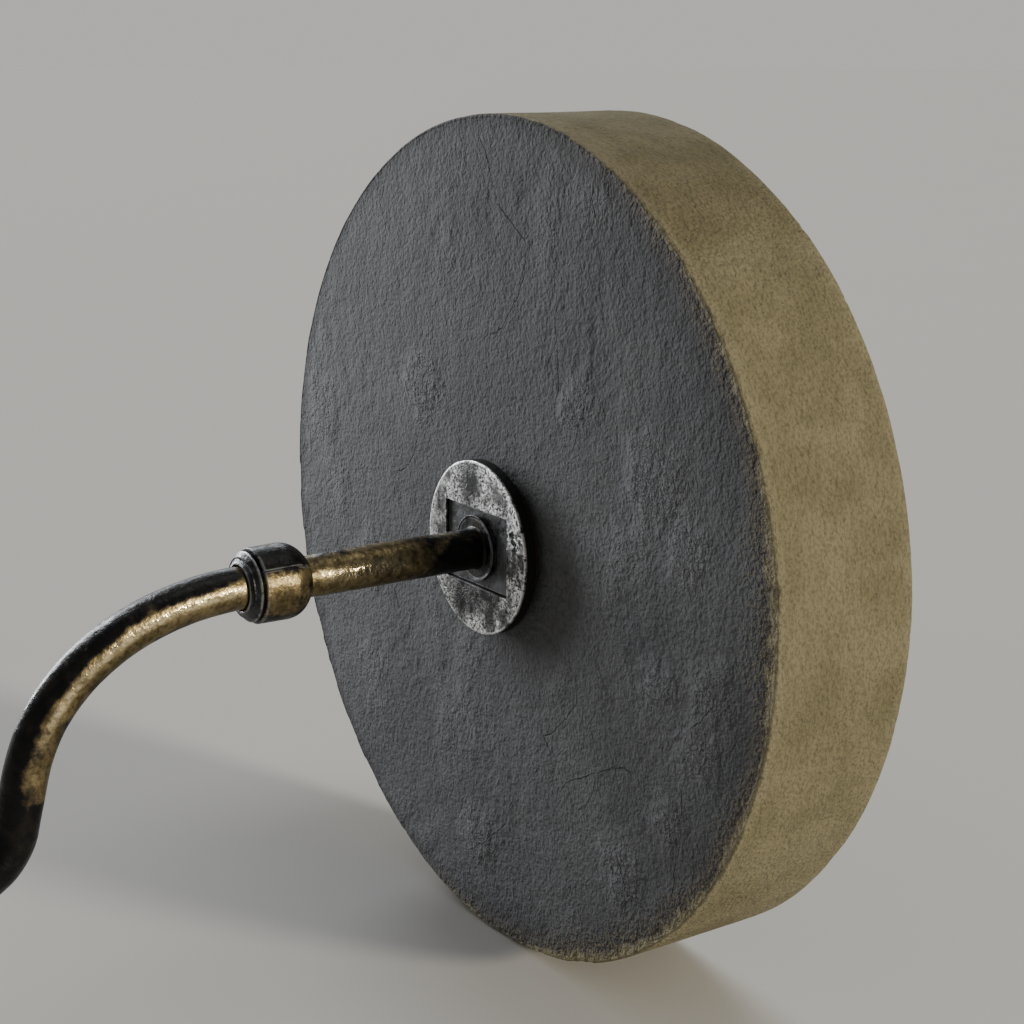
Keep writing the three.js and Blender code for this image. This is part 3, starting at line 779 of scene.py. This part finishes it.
def build_flanges():
    low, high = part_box("near_flange")
    plate_low, plate_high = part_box("near_hub_plate")
    width = plate_high.x - plate_low.x + 2 * GAP
    height = plate_high.z - plate_low.z + 2 * GAP
    floor = plate_high.y + GAP
    pocket = box_radius(width, height, 1.6 * MM, FLANGE_COUNT)
    corners = [
        (SHANK_HOLE, high.y, 0), (high.x, high.y, 0.8 * MM), (high.x, low.y, 0.9 * MM),
        (pocket, low.y, 0.5 * MM), (pocket, floor, 0.2 * MM), (SHANK_HOLE, floor, 0),
    ]
    stations = outline(corners, FLANGE_COUNT, 1.5 * MM)
    for node, flip in near_far("near_flange"):
        points = worn_notch(turn_round(stations)) * flip
        flat = points.reshape(-1, 3)
        radius = np.hypot(flat[:, 0], flat[:, 2])
        away = np.abs(flat[:, 1]) - (abs(low.y) - 0.7 * MM)
        # the flange's side and the pocket's walls: dark patina with painted shade
        patina_and_shade = ramp(radius, high.x - 0.5 * MM, high.x - 0.2 * MM) * ramp(away, 0, -0.6 * MM)
        inside = np.maximum(np.abs(flat[:, 0]) / (width / 2), np.abs(flat[:, 2]) / (height / 2))
        patina_and_shade = np.maximum(patina_and_shade, ramp(inside, 1.02, 1.0) * ramp(away, 0.2 * MM, -0.6 * MM))
        # the outer front edge, lightened by wear and a painted highlight
        outer_edge = ramp(away, -1.6 * MM, -0.8 * MM) * ramp(radius, high.x - 4 * MM, high.x - 3 * MM)
        masks = {"edge": edges_of(stations) * outer_edge, "patina_and_shade": patina_and_shade}
        add_grid(node, points, masks, ((30, 0.25, 2), (7, 0.12, 3)))


def build_hub_plates():
    low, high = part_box("near_hub_plate")
    edge = box_radius(high.x - low.x, high.z - low.z, 1.4 * MM, FLANGE_COUNT)
    corners = [
        (SHANK_HOLE, high.y, 0), (edge, high.y, 0), (edge, low.y, 0.5 * MM),
        (SHANK_HOLE, low.y, 0.3 * MM),
    ]
    wear = ((14, 0.3, 3), (4, 0.1, 3))
    for node, flip in near_far("near_hub_plate"):
        add_turned(node, corners, FLANGE_COUNT, 1.5 * MM, wear, flip=flip)


def build_packing_washers():
    low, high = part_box("near_packing_washer")
    bulge = 0.9 * MM
    corners = [
        (SHANK_HOLE, high.y, 0), (high.x - bulge, high.y, 0.5 * MM),
        (high.x, (low.y + high.y) / 2, 1 * MM), (high.x - bulge, low.y, 0.5 * MM),
        (SHANK_HOLE, low.y, 0),
    ]
    for node, flip in near_far("near_packing_washer"):
        add_turned(node, corners, FLANGE_COUNT, 3 * MM, ((5, 0.5, 3),), flip=flip)


# ---------- the bearings ----------

BARREL_COUNT = 120
BARREL_RADIUS = 21.6 * MM
OUTSIDE_FROM = 17 * MM  # what lies further from the axle's line than this is the barrel's outside


def barrel_stations():
    """The barrel's section: a rounded shoulder, a body, and a spigot for the retaining ring."""
    low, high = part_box("near_bearing_cap")
    ring_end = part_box("near_retaining_ring")[1].y
    spigot = 16.5 * MM
    bore = 15.3 * MM
    lip = 13 * MM
    lip_thickness = 3.5 * MM
    start = high.y  # the lip, nearest to the stone
    body_end = ring_end + 1.4 * MM
    handle = np.array([BARREL_RADIUS, start - 5.5 * MM])
    first, last = np.array([lip, start]), np.array([BARREL_RADIUS, start - 14 * MM])
    shoulder = [(*curve([first, handle, last], t), 0) for t in np.linspace(0, 1, 14)]
    corners = [
        *shoulder, (BARREL_RADIUS - 0.3 * MM, body_end, 0.9 * MM), (spigot, body_end, 0.5 * MM),
        (spigot, low.y, 0.4 * MM), (bore, low.y, 0.3 * MM), (bore, start - lip_thickness, 0),
        (lip, start - lip_thickness, 0),
    ]
    return outline(corners, 1, 1.2 * MM)


def barrel_half(stations, upper):
    """Points of one half, on its side of the tilted parting plane."""
    half_gap = GAP / 2
    chamfer = 0.5 * MM
    section = np.array([station[0] for station, _ in stations])
    radius, y = section[:, 0], section[:, 1]
    along = np.array([math.cos(PARTING_TILT), 0, math.sin(PARTING_TILT)])
    away = np.array([-math.sin(PARTING_TILT), 0, math.cos(PARTING_TILT)]) * (1 if upper else -1)
    outside = radius > OUTSIDE_FROM
    columns = []
    for rise, inset in ((0, 0.4), (0.4, 0.1), (1, 0), (2.5, 0)):
        height = half_gap + rise * chamfer
        reach = radius - inset * MM * outside
        columns.append((height, np.sqrt(reach**2 - height**2)))
    points = [np.outer(flat, along) + height * away for height, flat in columns]
    first_angle = math.radians(7)
    for turn in np.linspace(first_angle, math.pi - first_angle, BARREL_COUNT // 2):
        direction = along * math.cos(turn) + away * math.sin(turn)
        points.append(np.outer(radius, direction))
    points += [np.outer(-flat, along) + height * away for height, flat in reversed(columns)]
    grid = np.stack(points, axis=1)
    grid[..., 1] = y[:, None]
    return grid


def build_barrels():
    stations = barrel_stations()
    section_edges = np.array([edge for _, edge in stations])
    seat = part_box("near_bearing_body")[0].z
    for near_node, upper in (("near_bearing_cap", True), ("near_bearing_body", False)):
        for node, flip in near_far(near_node):
            grid = barrel_half(stations, upper) * flip
            edge = np.tile(section_edges[:, None], (1, grid.shape[1]))
            outside = np.hypot(grid[..., 0], grid[..., 2]) > OUTSIDE_FROM
            # the outside of the parting chamfers counts as edge too, for edge wear and a painted
            # highlight
            for end in (slice(3), slice(-3, None)):
                edge[:, end] = np.maximum(edge[:, end], outside[:, end])
            height = grid[..., 2].ravel() / BARREL_RADIUS
            bare = 0.37 - 0.37 * ramp(height, 0.32, 0.66) - 0.3 * ramp(-height, 0.5, 0.9)
            masks = {"edge": edge.ravel(), "bare": bare}
            mesh = add_grid(node, grid, masks, ((9, 0.2, 3), (3, 0.08, 3)), columns_closed=False)
            for vertex in mesh.vertices:
                vertex.co.z = max(vertex.co.z, seat)


def build_retaining_rings():
    low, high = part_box("near_retaining_ring")
    outer = high.x
    inside = 16.8 * MM
    nose = 13.9 * MM
    bore = 12.9 * MM
    spigot_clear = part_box("near_bearing_cap")[0].y - GAP
    corners = [
        (inside, high.y, 0.2 * MM), (outer, high.y, 0.5 * MM), (outer, high.y - 1.2 * MM, 0.5 * MM),
        (nose, low.y, 0.5 * MM), (bore, low.y, 0.3 * MM), (bore, spigot_clear, 0),
        (inside, spigot_clear, 0),
    ]
    for node, flip in near_far("near_retaining_ring"):
        add_turned(node, corners, 180, 0.9 * MM, ((6, 0.2, 3), (2, 0.06, 2)), flip=flip)


# ---------- the axle and crank, one forged bar ----------

BAR_COUNT = 96
JOURNAL_START = 120 * MM  # distances from the near face
CRANK_START = 165 * MM
CRANK_LENGTH = 170 * MM  # roughly, along its first bend
CRANK_EASE = 65 * MM
CRANK_TURN = 51 * MM
ARM_START = 292 * MM
ARM_DROP = 81.7 * MM
ARM_ANGLE = math.radians(76)
ARM_LENGTH = 28 * MM
PIN_BEND_RADIUS = 36 * MM
PIN_SHOULDER = 346 * MM


def straight_corners():
    """Corners of the straight axle's section, from its far end to the start of the crank."""
    plate_front = -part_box("near_hub_plate")[0].y
    washer_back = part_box("far_washer")[0].y
    thread_end = HALF_WIDTH + 54 * MM
    thread_depth = 1.5 * MM
    collar_start = -(plate_front + GAP)
    collar_end = collar_start - 3 * MM
    collar = 19.8 * MM
    square = box_radius(SHANK_SIDE, SHANK_SIDE, 1 * MM, BAR_COUNT)
    shank_end = plate_front - 2 * MM
    corners = [
        (1 * MM, FAR_END, 0), (JOURNAL_RADIUS, FAR_END, 2 * MM),
        (JOURNAL_RADIUS, thread_end + 2 * MM, 0),
        (THREAD_RADIUS - thread_depth - 0.1 * MM, thread_end + 1 * MM, 0),
    ]
    turn = angles(BAR_COUNT)
    for y in np.arange(thread_end, washer_back, -THREAD_PITCH / 8):
        phase = (y / THREAD_PITCH + turn / (2 * math.pi)) % 1
        depth = thread_depth * (1 - ramp(np.abs(phase - 0.5) * 2, 0.05, 0.95))
        corners.append((THREAD_RADIUS - depth, y, 0))
    return corners + [
        (THREAD_RADIUS, washer_back - 0.4 * MM, 0), (THREAD_RADIUS, shank_end, 0),
        (square, shank_end, 0), (square, collar_start + 0.1 * MM, 0),
        (collar, collar_start, 0.4 * MM), (collar, collar_end, 0.7 * MM),
        (collar - 2 * MM, collar_end + 0.5 * MM, 0.3 * MM),
        (BAR_RADIUS + 0.5 * MM, collar_end + 0.5 * MM, 0.3 * MM),
        (BAR_RADIUS, collar_end - 1 * MM, 0.5 * MM),
        (BAR_RADIUS, out_y(JOURNAL_START - 1 * MM), 0),
        (JOURNAL_RADIUS, out_y(JOURNAL_START + 1 * MM), 0),
        (JOURNAL_RADIUS, out_y(CRANK_START - 1 * MM), 0),
    ]


def crank_path(step):
    """Points (y, z) along the crank, from the near bearing to the end of the pin's bend."""
    along, down = math.cos(ARM_ANGLE), math.sin(ARM_ANGLE)
    start = np.array([CRANK_START, 0])
    arm = np.array([ARM_START, ARM_DROP])
    arm_end = arm + ARM_LENGTH * np.array([along, down])
    handles = [start, start + [CRANK_EASE, 0], arm - CRANK_TURN * np.array([along, down]), arm]
    spots = [curve(handles, t) for t in np.linspace(0, 1, int(CRANK_LENGTH / step))]
    spots += [curve([arm, arm_end], t) for t in np.linspace(0, 1, int(ARM_LENGTH / step))[1:]]
    centre = arm_end + PIN_BEND_RADIUS * np.array([down, -along])
    for angle in np.linspace(ARM_ANGLE, 0, int(PIN_BEND_RADIUS * ARM_ANGLE / step))[1:]:
        spots.append(centre + PIN_BEND_RADIUS * np.array([-math.sin(angle), math.cos(angle)]))
    distance, drop = np.array(spots).T
    return np.column_stack([out_y(distance), -drop])


def pin_corners(bend_end):
    """Corners of the pin's section, from the end of the bend."""
    shoulder = out_y(PIN_SHOULDER)
    return [
        (BAR_RADIUS, bend_end - 1 * MM, 0), (BAR_RADIUS, shoulder, 1.2 * MM),
        (PIN_RADIUS, shoulder, 0.3 * MM), (PIN_RADIUS, PIN_END, 1.2 * MM), (1 * MM, PIN_END, 0),
    ]


def along_bar(points):
    """How far each point is out from the near face, and how far into the crank, from 0 to 1."""
    distance = out_y(points[:, 1])
    return distance, ramp(distance, CRANK_START - 15 * MM, CRANK_START + 20 * MM)


def bar_bareness(points, turn):
    """How much patina is worn off: little on top, near the stone and far down the crank, and less on
    the underside, as painted shade.
    """
    z = points[:, 2]
    outwards = np.sin(turn)
    distance, crank = along_bar(points)
    bare = 1.0 - (0.45 + 0.55 * crank) * ramp(outwards, 0.7 - 0.48 * crank, 1.0 - 0.36 * crank)
    # painted shade: less worn off on the underside, so it stays dark
    bare *= 1 - (0.35 + 0.3 * crank) * ramp(outwards, -0.3 + 0.2 * crank, -0.9)
    bare *= 1 - ramp(distance, 72 * MM, 46 * MM) * ramp(distance, -60 * MM, -50 * MM)
    bare *= 1 - 0.35 * ramp(np.abs(distance - 118 * MM), 22 * MM, 8 * MM)
    bare *= 1 - 0.6 * ramp(-z, 42 * MM, 66 * MM)
    patch = np.hypot((-z - 82 * MM) / 2, 12 * MM * (outwards + 0.75))
    bare = np.maximum(bare, 0.85 * ramp(patch, 9 * MM, 5 * MM))
    arm_end = ramp(-z, 91 * MM, 102 * MM)
    return bare * (1 - arm_end) - 0.35 * arm_end


def bar_painted_highlight(points, turn):
    """How strongly a highlight is painted on the bare metal: in a band along the +X side of the axle
    and the crank.
    """
    distance, crank = along_bar(points)
    height = np.sin(turn) - 0.2 + 0.12 * crank
    band = ramp(np.abs(height), 0.5 - 0.24 * crank, 0.05) * (np.cos(turn) > 0)
    on_axle = ramp(np.abs(distance - 94 * MM), 34 * MM, 16 * MM)
    return band * np.maximum(0.9 * on_axle, 0.9 * crank * ramp(points[:, 2], -75 * MM, -45 * MM))


def build_bar():
    straight = outline(straight_corners(), BAR_COUNT, 1.2 * MM, closed=False)
    crank = rings_along(crank_path(1.1 * MM), BAR_RADIUS, BAR_COUNT)
    pin = outline(pin_corners(crank[-1, 0, 1]), BAR_COUNT, 2 * MM, closed=False)
    grid = np.concatenate([turn_round(straight), crank, turn_round(pin, PIN_Z)])
    flat = grid.reshape(-1, 3)
    edge = np.concatenate([edges_of(straight), np.zeros(len(crank) * BAR_COUNT), edges_of(pin)])
    edge *= np.hypot(flat[:, 0], flat[:, 2]) > BAR_RADIUS + 3 * MM  # not where the collar meets the bar
    turn = np.tile(angles(BAR_COUNT), len(grid))
    masks = {"edge": edge, "bare": bar_bareness(flat, turn), "painted_highlight": bar_painted_highlight(flat, turn)}
    add_grid("axle_crank", grid, masks, ((24, 0.3, 2), (6, 0.16, 3)), rows_closed=False)


# ---------- nuts, washers, collars and screws ----------

NUT_COUNT = 192
RING_COUNT = 144


def nut_corners(node, across_flats, bore, count):
    low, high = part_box(node)
    shape = hexagon_radius(across_flats, count)
    flat = across_flats / 2
    chamfer = 2 * MM
    taper = np.linspace(0, 1, 6)[1:-1]
    corner = flat * 2 / math.sqrt(3)
    ends = []
    for face, inwards in ((low.y, 1), (high.y, -1)):
        cone = [
            (np.minimum(shape, flat + (corner - flat) * t), face + inwards * chamfer * t, 0)
            for t in taper
        ]
        ends.append([(flat - 0.3 * MM, face, 0.3 * MM), *cone, (shape, face + inwards * chamfer, 0)])
    bore_corners = [(bore, high.y, 0.6 * MM), (bore, low.y, 0.6 * MM)]
    return ends[0] + ends[1][::-1] + bore_corners


def build_nuts():
    for node, across, bore, height in (
        ("far_nut", 36 * MM, THREAD_RADIUS + GAP, 0),
        ("far_lock_nut", 36 * MM, THREAD_RADIUS + GAP, 0),
        ("pin_nut", 24 * MM, PIN_RADIUS + GAP, PIN_Z),
    ):
        corners = nut_corners(node, across, bore, NUT_COUNT)
        add_turned(node, corners, NUT_COUNT, 1.5 * MM, ((8, 0.25, 3), (2.5, 0.08, 2)), height)


def ring_corners(node, bore, cut):
    """A plain ring that fills its CAD node's box."""
    low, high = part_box(node)
    outer = (high.x - low.x) / 2
    return [(bore, high.y, cut), (outer, high.y, cut), (outer, low.y, cut), (bore, low.y, cut)]


def build_plain_rings():
    for node, bore, height in (
        ("far_washer", THREAD_RADIUS + GAP, 0),
        ("far_inner_thrust_collar", JOURNAL_RADIUS + GAP, 0),
        ("far_outer_thrust_collar", JOURNAL_RADIUS + GAP, 0),
        ("pin_inner_washer", PIN_RADIUS + GAP, PIN_Z),
        ("pin_outer_washer", PIN_RADIUS + GAP, PIN_Z),
    ):
        corners = ring_corners(node, bore, 0.7 * MM)
        add_turned(node, corners, RING_COUNT, 1.5 * MM, ((9, 0.25, 3), (2.5, 0.08, 2)), height)


def build_set_screws():
    """Square-headed screws, built lying along Y and stood up on Z."""
    for node in ("far_inner_set_screw", "far_outer_set_screw"):
        low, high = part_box(node)
        count = 96
        shank = 4 * MM
        head = box_radius(high.x - low.x, high.x - low.x, 0.6 * MM, count)
        head_bottom = high.z - 7 * MM
        top = np.minimum(head, 5.2 * MM)
        corners = [
            (0.5 * MM, low.z, 0), (shank, low.z, 0.4 * MM), (shank, head_bottom, 0.2 * MM),
            (head, head_bottom, 0.4 * MM), (head, high.z - 1.2 * MM, 0.3 * MM),
            (top, high.z, 0.3 * MM), (0.5 * MM, high.z, 0),
        ]
        stations = outline(corners, count, 1.2 * MM, closed=False)
        lying = turn_round(stations)
        middle = (low.y + high.y) / 2
        standing = np.stack([lying[..., 0], middle - lying[..., 2], lying[..., 1]], axis=-1)
        add_grid(node, standing, {"edge": edges_of(stations)}, ((3, 0.15, 3),), rows_closed=False)


# ---------- the handle ----------


def build_grip():
    low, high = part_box("grip_wood")
    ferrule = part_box("grip_inner_ferrule")
    ferrule_length = ferrule[1].y - ferrule[0].y
    tenon = 12 * MM
    bore = 10.2 * MM
    body_start = high.y - ferrule_length - GAP
    body_end = low.y + ferrule_length + GAP
    belly = []
    for t in np.linspace(0, 1, 41):
        swell = 13.4 * MM + 4.6 * MM * math.sin(math.pi * t**0.85) ** 0.8
        belly.append((swell, body_start * (1 - t) + body_end * t, 0))
    corners = [
        (bore, high.y, 0), (tenon, high.y, 0), (tenon, body_start, 0), *belly, (tenon, body_end, 0),
        (tenon, low.y, 0), (bore, low.y, 0),
    ]
    add_turned("grip_wood", corners, RING_COUNT, 2.5 * MM, ((22, 0.3, 2),), PIN_Z)
    for node in ("grip_inner_ferrule", "grip_outer_ferrule"):
        low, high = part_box(node)
        outer = (high.x - low.x) / 2
        bead = 2 * MM
        groove = 0.6 * MM
        inside = tenon + GAP
        corners = [
            (inside, high.y, 0.2 * MM), (outer, high.y, 0.6 * MM), (outer, high.y - bead, 0.3 * MM),
            (outer - groove, high.y - bead - 0.5 * MM, 0.2 * MM),
            (outer - groove, low.y + bead + 0.5 * MM, 0.2 * MM),
            (outer, low.y + bead, 0.3 * MM), (outer, low.y, 0.6 * MM), (inside, low.y, 0.2 * MM),
        ]
        add_turned(node, corners, RING_COUNT, 1 * MM, ((5, 0.1, 3),), PIN_Z)


def cotter_path():
    """Centre line (across, up) of a split pin's wire: up one leg, round the eye and down the other."""
    leg = 0.85 * MM
    eye_radius = 3 * MM
    eye_height = 15 * MM
    splay_start = -9.5 * MM
    tips = [(-3.6 * MM, -12.4 * MM), (-2.2 * MM, -11.2 * MM), (-leg, splay_start)]
    spots = tips + [(-leg, z * MM) for z in range(-7, 11, 2)]
    lean = math.radians(20)
    for angle in np.linspace(math.pi * 1.5 - lean, -math.pi * 0.5 + lean, 22):
        spots.append((eye_radius * math.cos(angle), eye_height + eye_radius * math.sin(angle)))
    spots += [(leg, z * MM) for z in range(10, -8, -2)]
    return spots + [(-across, up) for across, up in reversed(tips)]


def build_cotter():
    low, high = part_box("cotter_pin")
    wire = 0.75 * MM
    count = 16
    line = np.array(cotter_path()) + [(low.y + high.y) / 2, PIN_Z]
    masks = {"edge": np.zeros(len(line) * count)}
    add_grid("cotter_pin", rings_along(line, wire, count), masks, rows_closed=False)


# ---------- the floor, the lights and the camera ----------


def floor_finish():
    f = Finish("pale_floor")
    tone = f.blend(f.noise(600, 2), (0.8274, 0.8225, 0.8107), (0.84, 0.835, 0.823))
    return f.done(tone, 0.9, 0.0, None, 0.2)


def build_floor():
    ground = (0, 0, CAD_BOX[0].z)
    bpy.ops.mesh.primitive_circle_add(vertices=96, radius=40, fill_type="NGON", location=ground)
    floor = bpy.context.object
    floor.name = "floor"
    floor.data.materials.append(floor_finish())


def build_world():
    """Soft light from all round. What the camera sees behind the floor has the floor's own tone."""
    world = bpy.data.worlds.new("studio")
    world.use_nodes = True
    tree = world.node_tree
    seen = tree.nodes.new("ShaderNodeLightPath").outputs["Is Camera Ray"]
    strength = tree.nodes.new("ShaderNodeMapRange")
    strength.inputs["To Min"].default_value = 0.25
    strength.inputs["To Max"].default_value = 0.53
    tree.links.new(seen, strength.inputs["Value"])
    background = tree.nodes["Background"]
    background.inputs["Color"].default_value = (1.0, 0.985, 0.965, 1)
    tree.links.new(strength.outputs[0], background.inputs["Strength"])
    bpy.context.scene.world = world


def add_lamp(name, kind, power, colour):
    light = bpy.data.lights.new(name, kind)
    light.energy = power
    light.color = colour
    lamp = bpy.data.objects.new(name, light)
    bpy.context.scene.collection.objects.link(lamp)
    return lamp


def add_sun(name, spot, width, strength, colour):
    """A soft sun, width degrees across, that shines from the direction of spot."""
    lamp = add_lamp(name, "SUN", strength, colour)
    lamp.data.angle = math.radians(width)
    lamp.rotation_euler = Vector(spot).to_track_quat("Z", "Y").to_euler()


def add_strip(name, spot, aim, width, height, power, colour):
    """An upright soft box that faces aim, and that leaves the floor evenly lit by the suns."""
    lamp = add_lamp(name, "AREA", power, colour)
    lamp.data.shape = "RECTANGLE"
    lamp.data.size = width
    lamp.data.size_y = height
    lamp.location = spot
    lamp.rotation_euler = (Vector(aim) - Vector(spot)).to_track_quat("-Z", "Y").to_euler()
    unlit = bpy.data.collections.new("not_lit_by_" + name)
    unlit.objects.link(bpy.data.objects["floor"])
    unlit.collection_objects[0].light_linking.link_state = "EXCLUDE"
    lamp.light_linking.receiver_collection = unlit


def build_light():
    build_world()
    add_sun("top", (0.1, 0.28, 1.0), 30, 0.4, (1.0, 0.99, 0.97))
    add_sun("key", (2.3, 1.1, 0.6), 8, 2.2, (1.0, 0.9, 0.72))
    add_sun("back", (-2.4, 0.9, 1.3), 25, 0.7, (0.9, 0.95, 1.0))
    add_strip("fill", (-0.95, -0.4, 0.4), (0, FACE, 0), 0.22, 1.0, 22, (0.95, 0.97, 1.0))


def build_camera():
    """The photograph's viewpoint, fitted to the stone's rims, the axle and the crank."""
    camera = bpy.data.cameras.new("camera")
    camera.lens = 66.84
    camera.sensor_width = 36
    seen_from = bpy.data.objects.new("camera", camera)
    bpy.context.scene.collection.objects.link(seen_from)
    seen_from.location = (0.90857, -0.6431, 0.28772)
    looking_down = math.radians(13.846)
    turned_left = math.radians(56.16)
    seen_from.rotation_euler = (math.pi / 2 - looking_down, 0, turned_left)
    bpy.context.scene.camera = seen_from


def finish_kept_nodes():
    """The hidden pieces keep their CAD meshes and get the same finishes."""
    for name, node in frame["nodes"].items():
        node.data.materials.clear()
        node.data.materials.append(finish_of(name))


finish_kept_nodes()
build_camera()
build_stone()
build_flanges()
build_hub_plates()
build_packing_washers()
build_barrels()
build_retaining_rings()
build_bar()
build_nuts()
build_plain_rings()
build_set_screws()
build_grip()
build_cotter()
build_floor()
build_light()
